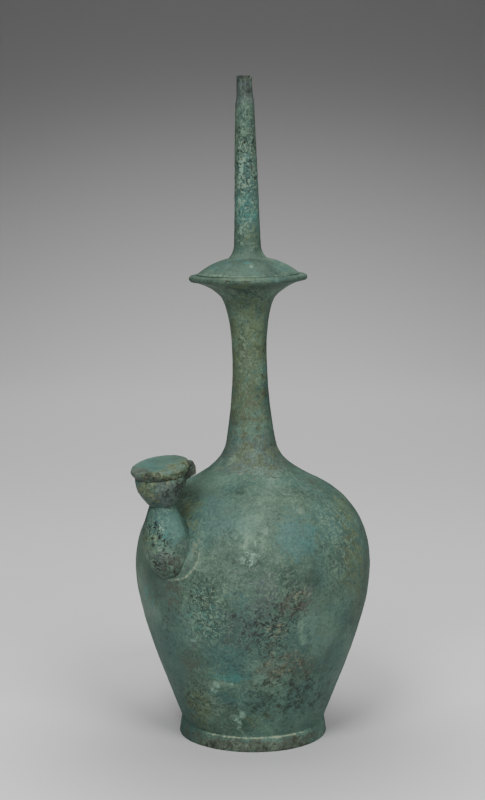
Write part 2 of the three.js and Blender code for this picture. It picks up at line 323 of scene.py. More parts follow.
def leaning_axis(height):
    """The axis of the vessel and the tube: it starts to lean in the body and leans fully at the shoulder."""
    lean = bpy.context.scene.ewer_vessel.lean
    start, bend = 60 * MM, 90 * MM
    share = min(max((height - start) / bend, 0.0), 1.0)
    above = max(height - start - bend, 0.0)
    angle = lean * share * share * (3 - 2 * share)
    shift = lean * (bend * share ** 3 * (1 - share / 2) + above)
    return at(-shift, height), Vector((-math.sin(angle), math.cos(angle), 0.0))


def lattice_noise(spots):
    """Gradient noise on a lattice of unit cells."""
    corner = np.floor(spots).astype(np.int64)
    inside = spots - corner
    blend = inside ** 3 * (inside * (inside * 6 - 15) + 10)
    total = np.zeros(len(spots))
    for offset in np.ndindex(2, 2, 2):
        key = (corner + offset) @ np.array((73856093, 19349663, 83492791)) & 0xFFFFFFFF
        key = (key ^ key >> 15) * 2246822519 & 0xFFFFFFFF
        key = (key ^ key >> 13) * 3266489917 & 0xFFFFFFFF
        towards = (SLOPES[(key >> 12) % len(SLOPES)] * (inside - offset)).sum(axis=1)
        total += towards * np.where(offset, blend, 1 - blend).prod(axis=1)
    return total * 1.25


def rough(points, size, seed, octaves=3):
    """Smooth noise from about -1 to 1 at each point, with lumps of the given size."""
    spots = points / size + seed * 17.3
    total = np.zeros(len(points))
    for octave in range(octaves):
        total += 0.5 ** octave * lattice_noise(spots * 2 ** octave + 5.3 * octave)
    return total


def fade(values, low, high):
    """0 at low, 1 at high, and smooth between them."""
    share = np.clip((values - low) / (high - low), 0.0, 1.0)
    return share * share * (3 - 2 * share)


# Marks on the surface. Each row gives a middle (x, y, z), half sizes across, in depth and up,
# all in millimetres, then a turn in degrees and a strength. The unseen side gets its own marks by chance
CHANCE_KINDS = (
    "turquoise", "mint", "olive", "brown", "slate", "dark", "tan", "pale", "blue", "pits", "flecks", "crust",
    "smooth",
)
KINDS = (*CHANCE_KINDS, "bare", "worn")

# How far the skin moves out or in under some kinds of mark
CRUST_HEIGHT = 0.6 * MM
BARE_DEPTH = 0.45 * MM
PIT_DEPTH = 0.32 * MM
GRAIN_HEIGHT = 0.09 * MM
CRESCENT_HEIGHT = 1.0 * MM
CHANNEL_DEPTH = 0.8 * MM

VESSEL_MARKS = {
    "smooth": (
        (-57, -30, 92, 15, 34, 40, 0, 0.9), (-46, -30, 45, 12, 26, 30, 12, 0.7),
        (34, -52, 64, 17, 18, 24, 0, 0.85), (40, -30, 34, 16, 24, 22, 20, 0.9),
        (-8, -30, 142, 34, 30, 18, 0, 0.7), (24, -48, 122, 20, 20, 20, 0, 0.5),
    ),
    "turquoise": (
        (-57, -33, 88, 5, 14, 11, 0, 0.45), (-27, -56, 80, 16, 14, 24, 0, 0.35),
        (-15, -51, 46, 17, 12, 4, 0, 0.75), (-13, -56, 60, 14, 12, 12, 0, 0.3),
        (28, -50, 126, 10, 14, 12, 0, 0.25), (14, -20, 256, 14, 16, 3, 0, 0.3),
    ),
    "dark": (
        (-47, -42, 72, 4, 10, 16, 8, 0.45), (38, -32, 34, 16, 24, 22, 20, 0.42),
        (14, -42, 22, 18, 14, 9, 0, 0.25), (-4, -38, 3, 56, 32, 5, 0, 0.42),
        (-7.5, -37, 144.8, 2.6, 4, 0.6, 0, 0.9), (-2, -30, 158, 24, 24, 9, 0, 0.3),
        (4, -60, 74, 28, 16, 26, 10, 0.4), (20, -50, 34, 34, 24, 22, 0, 0.5),
        # The second row on the next line is a painted shadow: the shade that the cup casts on the shoulder
        # beside it.
        (28, -34, 3, 20, 20, 5, 0, 0.42), (-40, -33, 135, 8, 12, 6, 0, 0.3),
        (7, -5, 215, 5, 14, 42, 0, 0.3), (-10, -32, 259.3, 14, 8, 0.5, 0, 0.9),
    ),
    "blue": (
        (-40, -44, 60, 12, 16, 24, 10, 0.5), (36, -50, 66, 14, 18, 20, 0, 0.4),
        (-14, -54, 54, 18, 14, 18, 0, 0.7), (-12, -49, 32, 17, 14, 12, 0, 0.6),
        (40, -36, 50, 14, 20, 20, 0, 0.4), (-4, -60, 84, 22, 14, 22, 0, 0.6),
        (22, -52, 124, 16, 18, 18, 0, 0.8),
    ),
    "brown": (
        (-44, -50, 90, 7, 12, 16, 6, 0.6), (-35, -44, 51, 8, 10, 12, 0, 0.6),
        (20, -62, 88, 11, 14, 13, 25, 0.55), (12, -61, 70, 10, 14, 13, 20, 0.5),
        (14, -55, 53, 18, 14, 14, 15, 0.62), (30, -45, 47, 7, 12, 8, 30, 0.45),
        (0, -38, 3, 62, 36, 5.5, 0, 0.95), (32, -14, 146, 9, 16, 5, 25, 0.5),
        (50, -38, 116, 9, 18, 14, 0, 0.35), (-4, -10, 190, 18, 18, 40, 0, 0.4),
        (-14, -4, 200, 5, 12, 48, 0, 0.5),
    ),
    "pits": (
        (-29, -57, 90, 12, 12, 26, -8, 0.9), (15, -62, 80, 17, 16, 26, 24, 0.9),
        (-32, -34, 28, 9, 16, 18, 0, 0.9),
    ),
    "flecks": (
        (-24, -58, 84, 16, 12, 26, 0, 0.8), (-28, -38, 30, 14, 16, 20, 0, 0.7),
        (6, -30, 146, 32, 26, 16, 0, 0.75), (44, -34, 120, 16, 26, 30, 0, 0.7),
        (-6, -10, 225, 8, 12, 40, 0, 0.5),
    ),
    "mint": (
        (-33, -52, 68, 8, 9, 3, -10, 0.5), (28, -57, 72, 6, 10, 11, -8, 0.22),
        (-13, -50, 42, 8, 10, 1.6, 0, 0.5), (-21, -47, 40, 4, 8, 4, 0, 0.5),
        (-8, -44, 21, 4, 9, 12, -4, 0.5), (-2, -62, 116, 7, 10, 9, 15, 0.32),
        (-14, -14, 158, 5, 9, 6, 0, 0.3),
    ),
    "slate": (
        (-31, -51, 63, 6, 9, 6, 0, 0.5), (18, -60, 90, 20, 16, 16, 20, 0.5),
        (-4, -60, 76, 20, 14, 20, 10, 0.55), (6, -65, 92, 12, 14, 24, 8, 0.6),
        (-8, -64, 104, 16, 14, 14, 0, 0.35), (-2, -18, 162, 30, 30, 14, 0, 0.8),
    ),
    "tan": (
        (24, -61, 94, 6, 9, 7, 0, 0.5), (13, -62, 76, 6, 9, 6, 0, 0.5), (18, -54, 54, 16, 14, 12, 15, 0.35),
        (-7, -23, 153, 1.8, 4, 1.8, 0, 0.8), (-30, -54, 118, 2.5, 8, 6, 0, 0.6),
    ),
    "pale": (
        (26, -57, 72, 4, 10, 12, -15, 0.6), (36, -50, 68, 14, 18, 20, 0, 0.5),
        (-16, -50, 41, 15, 10, 2.5, 0, 0.8), (-9, -44, 22, 6, 10, 13, -4, 0.4),
        # The second row on the next line is painted light: it lightens the neck's top and the plate's
        # underside, where the plate's shadow falls.
        (0, -60, 118, 14, 16, 17, 20, 0.5), (-5, -14, 245, 26, 18, 14, 0, 0.6),
    ),
    "olive": (
        (-30, -33, 24, 10, 18, 16, 0, 0.7), (6, -45, 20, 16, 12, 10, 0, 0.4),
        (12, -38, 3, 36, 20, 5, 0, 0.5), (50, -18, 132, 9, 22, 12, 0, 0.6),
        (54, -32, 108, 10, 26, 34, 0, 0.6), (-34, -38, 136, 9, 14, 10, 0, 0.6),
        (-31, -46, 128, 6, 12, 10, 0, 0.5), (-4, -10, 212, 18, 18, 60, 0, 0.7),
        (-2, -18, 162, 30, 30, 14, 0, 0.5), (-8, -22, 259, 26, 20, 5, 0, 0.5),
    ),
    "worn": ((8, -38, 7.9, 44, 16, 0.6, 0, 0.75),),
}

CAP_MARKS = {
    "smooth": ((-4, 0, 266, 40, 40, 8, 0, 0.6),),
    "turquoise": (
        (-3.5, -17, 268.4, 2.5, 4, 1.6, 0, 0.9), (-6, -6, 297, 7, 9, 10, 0, 0.8),
    ),
    "mint": (
        (-1, -19, 267.2, 1.2, 4, 2.6, 0, 0.5), (-7.2, -6, 318, 2.4, 7, 9, 0, 0.6),
        (-8, -6, 282, 3, 7, 7, 0, 0.4),
    ),
    "pale": (
        # The first row on the next line is painted light: a pale ring that lightens the cap's rim, where its
        # seat on the plate lies in shade.
        (-4, 0, 261.6, 60, 60, 0.8, 0, 0.8), (-18, -14, 265, 12, 14, 4, 0, 0.5),
        (-6, -6, 340, 3, 7, 9, 0, 0.28),
    ),
    "blue": (
        (-18, -12, 266, 16, 16, 5, 0, 0.7), (17, -12, 266, 14, 14, 5, 0, 0.6),
        (-4, -5, 325, 8, 10, 16, 0, 0.6),
    ),
    "olive": ((-2, -6, 283, 7, 9, 8, 0, 0.5),),
    "tan": ((-0.8, -5, 318.6, 1.2, 4, 2.5, 0, 0.9),),
    "bare": ((-5, 0, 370, 30, 30, 15, 0, 1.0),),
    "dark": (
        (-5, 0, 370, 30, 30, 15, 0, 0.6), (1, -4, 330, 3, 8, 26, 0, 0.45),
    ),
    "slate": ((-5, 0, 366, 30, 30, 14, 0, 0.9),),
    "flecks": ((-5, -4, 315, 10, 10, 44, 0, 0.9),),
    "pits": ((-6, -4, 325, 9, 9, 34, 0, 0.9),),
}

SPOUT_MARKS = {
    "crust": ((-57, -58, 151, 6, 10, 8, 0, 0.9),),
    "olive": (
        (-57, -58, 151, 7, 12, 9, 0, 0.8), (-56, -55, 122, 5, 12, 10, 0, 0.5),
    ),
    "slate": (
        (-44, -58, 148, 12, 12, 10, 0, 0.95), (-48, -57, 112, 12, 12, 8, 10, 0.7),
        (-38, -54, 115, 6, 10, 10, 0, 0.5),
    ),
    "dark": (
        (-42, -56, 149, 10, 12, 9, 0, 0.6), (-33, -49, 159, 7, 8, 7, 0, 0.75),
        (-45, -53, 140, 5, 8, 1, 5, 0.6), (-41, -50, 103, 10, 12, 4, 0, 0.5),
    ),
    "brown": (
        (-40, -50, 152, 9, 16, 9, 0, 0.5), (-33, -49, 160, 7, 8, 7, 0, 1.0),
        (-42, -55, 109, 10, 12, 10, 0, 0.55),
    ),
    "tan": ((-46, -60, 155.5, 9, 9, 1.8, 0, 0.6),),
    "pale": (
        (-44, -58, 146, 2, 8, 5, 10, 0.6), (-42, -54, 130, 8, 12, 10, 0, 0.9),
    ),
    "blue": ((-45, -55, 130, 12, 14, 12, 0, 0.9),),
    "smooth": ((-40, -54, 130, 8, 12, 14, 0, 0.9),),
    "turquoise": ((-48.5, -57.5, 126, 3, 6, 3, 0, 0.7),),
    "mint": ((-50, -57, 128, 3, 6, 3, 0, 0.5),),
    "pits": (
        (-53, -56, 128, 7, 9, 13, 0, 1.0), (-48, -58, 117, 10, 10, 11, 10, 1.0),
        (-52, -54, 108, 9, 10, 7, 20, 1.0),
    ),
    "flecks": ((-53, -57, 124, 7, 10, 16, 0, 0.6),),
}

LID_MARKS = {
    "smooth": ((-52, -48, 163, 18, 18, 3, 0, 1.0),),
    "turquoise": ((-58, -45, 162, 6, 9, 3, 0, 0.45),),
    "blue": ((-48, -47, 163, 16, 16, 3, 0, 0.5),),
    "crust": (
        (-50, -63, 158, 13, 5, 4, 6, 1.0), (-40, -58, 160, 10, 7, 5, 10, 1.0),
        (-36, -52, 163, 5, 8, 4, 0, 1.0),
    ),
    "olive": (
        (-50, -63, 158, 14, 5, 4, 6, 1.0), (-40, -58, 160, 10, 7, 5, 10, 1.0),
        (-36, -52, 163, 5, 8, 4, 0, 0.9),
    ),
    "slate": ((-63, -55, 158.5, 8, 10, 5, 0, 1.0),),
    "brown": (
        (-63, -54, 158.5, 8, 10, 5, 0, 0.7), (-32, -48, 161, 5, 7, 6, 0, 1.0),
    ),
    "dark": (
        (-48, -62, 156, 22, 12, 4, 4, 0.68), (-32, -48, 161, 5, 7, 6, 0, 0.75),
        # This row is a painted shadow: a thin dark line along the lid's lower edge at the front, where the
        # band overhangs the cup.
        (-44, -62, 154.5, 16, 10, 0.7, 5, 0.8),
    ),
}


def painted(points, marks):
    """How strongly each kind of mark covers each point, with edges that are less ragged on small marks."""
    fully_ragged = 5
    ragged = np.stack([rough(points, 9 * MM, seed, 4) for seed in (3.1, 5.7, 8.3)], axis=1) * 3.2
    masks = {kind: np.zeros(len(points)) for kind in KINDS}
    for kind, rows in marks.items():
        for *middle, across, depth, up, degrees, strength in rows:
            off = points / MM - np.array(middle) + ragged * min(1.0, min(across, depth, up) / fully_ragged)
            cosine, sine = math.cos(math.radians(degrees)), math.sin(math.radians(degrees))
            reach = np.sqrt(
                ((off[:, 0] * cosine - off[:, 2] * sine) / across) ** 2 + (off[:, 1] / depth) ** 2
                + ((off[:, 0] * sine + off[:, 2] * cosine) / up) ** 2
            )
            masks[kind] = np.maximum(masks[kind], strength * fade(-reach, -1.4, -0.3))
    return masks


def weathered(points, marks, unseen, ridge):
    """The given marks, and on the unseen side like ones by chance."""
    masks = painted(points, marks)
    if ridge:
        raised, channel = crescent(points)
        # The crescent's crest gets a painted highlight in the worn-edge colour; its channel gets a slate
        # tint, and both are made smoother.
        covers = {"worn": 0.72 * raised ** 2, "slate": 0.6 * channel, "smooth": np.maximum(raised, channel)}
        for kind, cover in covers.items():
            masks[kind] = np.maximum(masks[kind], cover)
    hidden = unseen > 0.01
    for seed, kind in enumerate(CHANCE_KINDS):
        chance = 0.45 * fade(rough(points[hidden], 24 * MM, 11.3 + 4.1 * seed), 0.1, 0.8)
        masks[kind][hidden] = np.maximum(masks[kind][hidden], unseen[hidden] * chance)
    return masks


def crescent(points):
    """The raised crescent below the spout on its right, and the channel inside it, each from 0 to 1."""
    half_width, half_height, middle, squareness = 21.5 * MM, 16 * MM, 115.5 * MM, 2.5
    local = np.array(spout_frame().inverted())
    own = points @ local[:3, :3].T + local[:3, 3]
    across = np.arctan2(own[:, 1], own[:, 0]) * np.hypot(own[:, 0], own[:, 1]) / half_width
    up = (own[:, 2] - middle) / half_height
    reach = (np.abs(across) ** squareness + np.abs(up) ** squareness) ** (1 / squareness)
    side = np.degrees(np.arctan2(up, across))
    span = fade(side, -112, -75) * fade(-side, -28, 2) * (own[:, 0] > 0)
    reach = reach + 0.02 * rough(points, 6 * MM, 7.7, 2)
    return span * np.exp(-((reach - 1.0) / 0.055) ** 2), span * np.exp(-((reach - 0.82) / 0.09) ** 2)


def give_relief(bm, marks, unevenness, ridge=False):
    """Moves the skin in and out: broad unevenness, raised crust and small pits."""
    mark = bm.verts.layers.float[SKIN]
    skin = [vert for vert in bm.verts if vert[mark] > 0.5]
    bm.normal_update()
    points = np.array([vert.co for vert in skin])
    masks = painted(points, marks)
    height = unevenness * rough(points, 30 * MM, 1.3, 2) + GRAIN_HEIGHT * rough(points, 4.5 * MM, 2.9, 3)
    height += CRUST_HEIGHT * masks["crust"] * (0.5 + rough(points, 2.6 * MM, 4.4, 3))
    height -= BARE_DEPTH * fade(masks["bare"], 0.35, 0.55)
    height -= PIT_DEPTH * masks["pits"] * fade(rough(points, 3.2 * MM, 6.1, 2), 0.1, 0.5)
    if ridge:
        raised, channel = crescent(points)
        height += CRESCENT_HEIGHT * raised - CHANNEL_DEPTH * channel
    for vert, move in zip(skin, height):
        vert.co += vert.normal * float(move)
        vert.co.z = max(vert.co.z, 0.0)


def carved(bm, cutter):
    """The shell with the cutter's bulk taken out of it."""
    meshes = [as_mesh(part, "carving") for part in (bm, cutter)]
    whole, tool = [placed("carving", mesh) for mesh in meshes]
    cut = whole.modifiers.new("Carve", "BOOLEAN")
    cut.operation = "DIFFERENCE"
    cut.solver = "MANIFOLD"
    cut.object = tool
    result = bmesh.new()
    result.from_object(whole, bpy.context.evaluated_depsgraph_get())
    for obj in (whole, tool):
        bpy.data.objects.remove(obj)
    for mesh in meshes:
        bpy.data.meshes.remove(mesh)
    return result


def all_seen(points):
    return np.zeros(len(points))


def finished(name, bm, material, body, node, marks, unseen=all_seen, ridge=False):
    """Makes the piece from its mesh, paints its marks, hangs it on the empty of its body, and hides the part
    that it stands in for.
    """
    bmesh.ops.remove_doubles(bm, verts=bm.verts, dist=WELD / 10)
    mesh = as_mesh(bm, name)
    mesh.shade_smooth()
    mesh.set_sharp_from_angle(angle=math.radians(38))
    points = np.array([vert.co for vert in mesh.vertices])
    for kind, cover in weathered(points, marks, unseen(points), ridge).items():
        mesh.attributes.new(kind, "FLOAT", "POINT").data.foreach_set("value", cover.astype(np.float32))
    mesh.materials.append(material)
    piece = placed(name, mesh)
    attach(piece, body)
    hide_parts(node)
    print(name, len(mesh.polygons), "faces")


# Materials

class Shade:
    """Short ways to add nodes to one material."""

    def __init__(self, name):
        self.material = bpy.data.materials.new(name)
        self.material.use_nodes = True
        self.tree = self.material.node_tree
        self.shader = self.tree.nodes["Principled BSDF"]

    def put(self, kind, inputs, **settings):
        node = self.tree.nodes.new(kind)
        for key, value in settings.items():
            setattr(node, key, value)
        for key, value in inputs.items():
            self.plug(node.inputs[key], value)
        return node

    def plug(self, socket, value):
        if isinstance(value, bpy.types.NodeSocket):
            self.tree.links.new(value, socket)
        else:
            socket.default_value = value

    def math(self, operation, first, second=0.0):
        return self.put("ShaderNodeMath", {0: first, 1: second}, operation=operation).outputs[0]

    def times(self, first, second):
        return self.math("MULTIPLY", first, second)

    def less(self, first, second):
        return self.math("SUBTRACT", first, second)

    def most(self, first, second):
        return self.math("MAXIMUM", first, second)

    def vector(self, operation, *values):
        return self.put("ShaderNodeVectorMath", dict(enumerate(values)), operation=operation).outputs

    def noise(self, vector, size, detail=4.0, roughness=0.6):
        inputs = {"Vector": vector, "Scale": 1.0 / size, "Detail": detail, "Roughness": roughness}
        return self.put("ShaderNodeTexNoise", inputs).outputs["Fac"]

    def between(self, value, low, high, top=1.0):
        """0 below low and top above high."""
        inputs = {"Value": value, "From Min": low, "From Max": high, "To Max": top}
        return self.put("ShaderNodeMapRange", inputs, interpolation_type="SMOOTHSTEP").outputs["Result"]

    def mix(self, share, first, second, blend="MIX"):
        node = self.put("ShaderNodeMix", {}, data_type="RGBA", blend_type=blend)
        for index, value in ((0, share), (6, first), (7, second)):
            self.plug(node.inputs[index], value)
        return node.outputs[2]

    def mark(self, kind):
        return self.put("ShaderNodeAttribute", {}, attribute_name=kind).outputs["Fac"]

    def shifted(self, vector, seed):
        """The same place in another part of the noise."""
        return self.vector("ADD", vector, (0.37 * seed, -0.23 * seed, 0.51 * seed))[0]

    def grains(self, vector, size, seed, low, high):
        """Ragged grains of about the given size: the higher low is, the fewer there are."""
        return self.between(self.noise(self.shifted(vector, seed), size, 2.5, 0.62), low, high)

    def curls(self, vector, size, seed, width):
        """Thin curly lines, which are contours of a noise."""
        noise = self.noise(self.shifted(vector, seed), size, 2.0, 0.6)
        off = self.math("ABSOLUTE", self.less(noise, 0.5))
        return self.between(self.less(width, off), 0.0, 0.7 * width)

    def dissolve(self, cover, broken, strength):
        """A mark that breaks up into grains where its cover is weak."""
        reach = self.less(self.math("ADD", self.times(cover, 1.5), broken), 1.0)
        return self.between(reach, 0.0, 0.6, strength)


def solid(rgb):
    return (*rgb, 1.0)


# How strongly each kind of mark tints the patina, in the order in which they are laid on
TINTS = {
    "pale": 0.75, "blue": 0.8, "slate": 0.75, "olive": 0.75, "brown": 0.75, "turquoise": 0.7, "mint": 0.75,
    "dark": 0.75,
}


def patina(name, cast=1.0, blue=0.5, texture=1.0):
    """Old bronze under a mottled green crust. Cast scales its brightness, blue tints its colder patches, and
    texture is the strength of its flecks and pits."""
    paints = bpy.context.scene.ewer_colours
    shade = Shade(name)
    place = shade.put("ShaderNodeTexCoord", {}).outputs["Object"]
    wander = shade.put("ShaderNodeTexNoise", {"Vector": place, "Scale": 260.0, "Detail": 3.0})
    centred = shade.vector("SUBTRACT", wander.outputs["Color"], (0.5, 0.5, 0.5))[0]
    ragged = shade.vector("MULTIPLY_ADD", centred, (6 * MM,) * 3, place)[0]

    clouds = shade.noise(place, 30 * MM, 8.0, 0.62)
    cold = shade.noise(shade.shifted(place, 1), 46 * MM, 4.0, 0.6)
    patches = shade.noise(shade.shifted(ragged, 2), 13 * MM, 5.0, 0.6)
    broken = shade.between(shade.noise(shade.shifted(ragged, 3), 4.5 * MM, 6.0, 0.75), 0.34, 0.66)
    grain = shade.noise(place, 1.3 * MM, 3.0, 0.7)

    base = shade.mix(shade.between(clouds, 0.32, 0.52), solid(paints.deep), solid(paints.green))
    base = shade.mix(shade.between(clouds, 0.50, 0.70), base, solid(paints.pale))
    base = shade.mix(shade.between(cold, 0.42, 0.60, blue), base, solid(paints.blue))
    for kind, strength in TINTS.items():
        cover = shade.dissolve(shade.mark(kind), broken, strength)
        base = shade.mix(cover, base, solid(getattr(paints, kind)))

    rugged = shade.less(1.0, shade.times(shade.mark("smooth"), 0.8))
    gathered = shade.between(patches, 0.40, 0.60)
    crust = shade.mark("crust")
    light_cover = shade.times(shade.most(shade.times(gathered, 0.36), shade.mark("flecks")), rugged)
    light = shade.times(shade.grains(ragged, 2.3 * MM, 4, 0.54, 0.68), 0.8)
    light = shade.times(shade.most(light, shade.curls(ragged, 4.2 * MM, 8, 0.042)), light_cover)
    base = shade.mix(shade.times(light, 0.6 * texture), base, solid(paints.fleck))
    earth = shade.most(shade.mark("tan"), shade.times(crust, 0.55))
    crumbs = shade.times(shade.grains(ragged, 1.9 * MM, 5, 0.50, 0.62), earth)
    base = shade.mix(shade.times(crumbs, 0.75), base, solid(paints.tan))

    hollow_cover = shade.most(shade.less(0.5, shade.times(gathered, 0.5)), shade.mark("pits"))
    hollow_cover = shade.most(shade.times(hollow_cover, rugged), shade.times(crust, 0.8))
    pits = shade.times(shade.grains(ragged, 1.8 * MM, 6, 0.51, 0.62), hollow_cover)
    base = shade.mix(shade.times(pits, 0.85 * texture), base, solid(paints.dark))

    bright = shade.put("ShaderNodeMapRange", {
        "Value": grain, "From Min": 0.28, "From Max": 0.72, "To Min": 0.74 * cast, "To Max": 1.26 * cast,
    }).outputs["Result"]
    base = shade.mix(1.0, base, bright, "MULTIPLY")
    # Rubbed edges, and the painted highlight on the crescent's crest.
    base = shade.mix(shade.dissolve(shade.mark("worn"), broken, 0.75), base, solid(paints.worn))
    inner = shade.less(1.0, shade.mark(SKIN))
    base = shade.mix(shade.times(inner, 0.7), base, solid(paints.brown))

    gloss = shade.between(shade.math("ADD", patches, shade.times(rugged, 0.25)), 0.3, 0.9)
    gloss = shade.put("ShaderNodeMapRange", {"Value": gloss, "To Min": 0.5, "To Max": 0.82}).outputs["Result"]
    relief = shade.math("ADD", shade.times(grain, 0.9), shade.times(broken, 0.35))
    relief = shade.less(shade.times(relief, rugged), shade.times(pits, 0.9))
    relief = shade.math("ADD", relief, shade.times(shade.math("ADD", light, crumbs), 0.5))
    bump = shade.put("ShaderNodeBump", {"Height": relief, "Strength": 0.8, "Distance": 0.3 * MM})

    shade.plug(shade.shader.inputs["Base Color"], base)
    shade.plug(shade.shader.inputs["Roughness"], gloss)
    shade.plug(shade.shader.inputs["Normal"], bump.outputs["Normal"])
    shade.shader.inputs["Metallic"].default_value = 0.1
    shade.shader.inputs["Specular IOR Level"].default_value = 0.4
    return shade.material


# Pieces

def vessel_line(gap, stretches=6):
    """The outline of the body, the neck and the underside of the plate, from the foot up through the given
    number of its stretches."""
    size = bpy.context.scene.ewer_vessel
    waist = at(size.waist_radius, size.foot_height + 0.6 * MM)
    belly = at(size.belly_radius, size.belly_height)
    shoulder = at(size.shoulder_radius, size.shoulder_height)
    root = at(size.neck_root_radius, size.neck_root_height)
    neck = at(size.neck_radius, size.neck_height)
    flare = at(size.flare_radius, size.flare_height)
    edge = at(size.plate_radius - size.lip / 2, size.plate_height)
    runs = [
        [waist, *stretch(waist, belly, (0.563, 0.429), (1, 0.751), gap)],
        stretch(belly, shoulder, (0, 0.545), (0.449, 0.839), gap),
        stretch(shoulder, root, (0.676, 0.348), (0.938, 0.614), gap),
        stretch(root, neck, (0.6, 0.326), (1, 0.652), gap * 1.6),
        stretch(neck, flare, (0, 0.353), (0.287, 0.824), gap * 1.6),
        stretch(flare, edge, (0.113, 0.333), (0.554, 0.875), gap),
    ]
    return [p for run in runs[:stretches] for p in run]


def spout_frame():
    """Puts the spout's own frame, whose +X points away from the body, on the leaning axis."""
    size = bpy.context.scene.ewer_spout
    centre, _ = leaning_axis(size.waist_height)
    return Matrix.Translation((centre.x, 0, 0)) @ Matrix.Rotation(size.bearing, 4, "Z")


def slanted(angle):
    return at(math.sin(angle), math.cos(angle))


class SpoutLine:
    """The spout's middle line: a curve from its root to the waist, then straight on through the cup."""

    def __init__(self):
        size = bpy.context.scene.ewer_spout
        body = bpy.context.scene.ewer_vessel
        self.size = size
        depth, rise = 14.8 * MM, 2.5 * MM
        root = at(body.belly_radius - depth, body.belly_height + rise)
        self.waist = at(body.belly_radius + size.waist_offset, size.waist_height)
        first = at(self.waist.x - 5.5 * MM, root.y + 9.5 * MM)
        second = self.waist - slanted(size.cup_lean) * 13.5 * MM
        self.points = interpolate_bezier(root, first, second, self.waist, 257)
        self.reached = lengths_along(self.points)
        self.bulb = self.reached[-1]
        self.rim = self.bulb + size.cup_height

    def __call__(self, height):
        if height > self.bulb:
            above = height - self.bulb
            turned_by = min(above / self.size.cup_height, 1.0) * (self.size.rim_tilt - self.size.cup_lean)
            place = self.waist + slanted(self.size.cup_lean) * above
            return place, slanted(self.size.cup_lean + turned_by)
        height = max(height, 0.0)
        step = 0.2 * MM
        before = point_along(self.points, self.reached, max(height - step, 0.0))
        after = point_along(self.points, self.reached, min(height + step, self.bulb))
        return point_along(self.points, self.reached, height), (after - before).normalized()


def spout_skin(line, gap):
    size = line.size
    root = at(size.root_radius, 0.0)
    widest = at(size.bulb_radius, size.bulb_widest)
    pinch = at(size.waist_radius, line.bulb)
    rim = at(size.cup_radius, line.rim - 0.4 * MM)
    return [
        root,
        *stretch(root, widest, (0.44, 0.19), (1, 0.52), gap),
        *stretch(widest, pinch, (0, 0.38), (0.54, 0.65), gap),
        *stretch(pinch, rim, (0.46, 0.225), (1, 0.53), gap),
    ]


def spout_hollow(line, segments):
    """The bulk of the spout's hollow, which also opens the body's wall."""
    skin = moved_inward(spout_skin(line, 1.2 * MM), line.size.wall)
    skin[0].y = 0.0
    mouth = line.rim + 1 * MM
    outline = [at(0, 0), *skin, at(line.size.cup_radius - line.size.wall, mouth), at(0, mouth)]
    bm = turned([], outline, segments)
    follow(bm, line)
    bm.transform(spout_frame())
    return bm


def behind(points):
    """1 on the side that the front view doesn't show."""
    return fade(points[:, 1], -8 * MM, 14 * MM)


class EWER_OT_vessel(bpy.types.Operator):
    """Add the hollow vessel: foot ring, body, neck and round plate"""

    bl_idname = "ewer.vessel"
    bl_label = "Vessel"

    def execute(self, context):
        size = context.scene.ewer_vessel
        cap = context.scene.ewer_cap
        recess, edge, corner = 3.5 * MM, 0.7 * MM, 0.2 * MM
        ring = size.foot_radius - 4.5 * MM
        top = size.plate_height + size.lip
        seat = cap.radius - cap.wall
        gap = 1.25 * MM
        foot = [at(0, recess), *straight([
            at(0, recess), at(ring - recess / 2, recess), at(ring, corner), at(ring + 0.3 * MM, 0),
            at(size.foot_radius - edge, 0), at(size.foot_radius - corner, corner), at(size.foot_radius, edge),
            at(size.foot_top_radius, size.foot_height - edge),
            at(size.foot_top_radius - corner, size.foot_height - corner),
            at(size.foot_top_radius - edge, size.foot_height),
        ], 1.6 * MM)]
        reach = size.lip / 2
        centre = at(size.plate_radius - reach, size.plate_height + reach)
        lip = [centre + slanted(math.pi * step / 8) * reach for step in range(7, -1, -1)]
        skin = [*foot, *vessel_line(gap), *lip, at(seat + 1 * MM, top)]
        inside = moved_inward(vessel_line(4 * gap), size.wall)
        inside = [p for p in inside if p.y < size.flare_height or p.x < seat]
        floor = recess + size.wall
        hollow = [at(seat, top), *reversed(inside), at(size.waist_radius - size.wall, floor), at(0, floor)]
        bm = turned(skin, hollow, segments=320)
        follow(bm, leaning_axis)
        give_relief(bm, VESSEL_MARKS, 0.22 * MM, ridge=True)
        bm = carved(bm, spout_hollow(SpoutLine(), segments=64))
        material = patina("vessel_patina", cast=1.02, blue=0.55)
        finished("ewer_vessel", bm, material, "ewer", "vessel", VESSEL_MARKS, behind,
                 ridge=True)
        return {"FINISHED"}


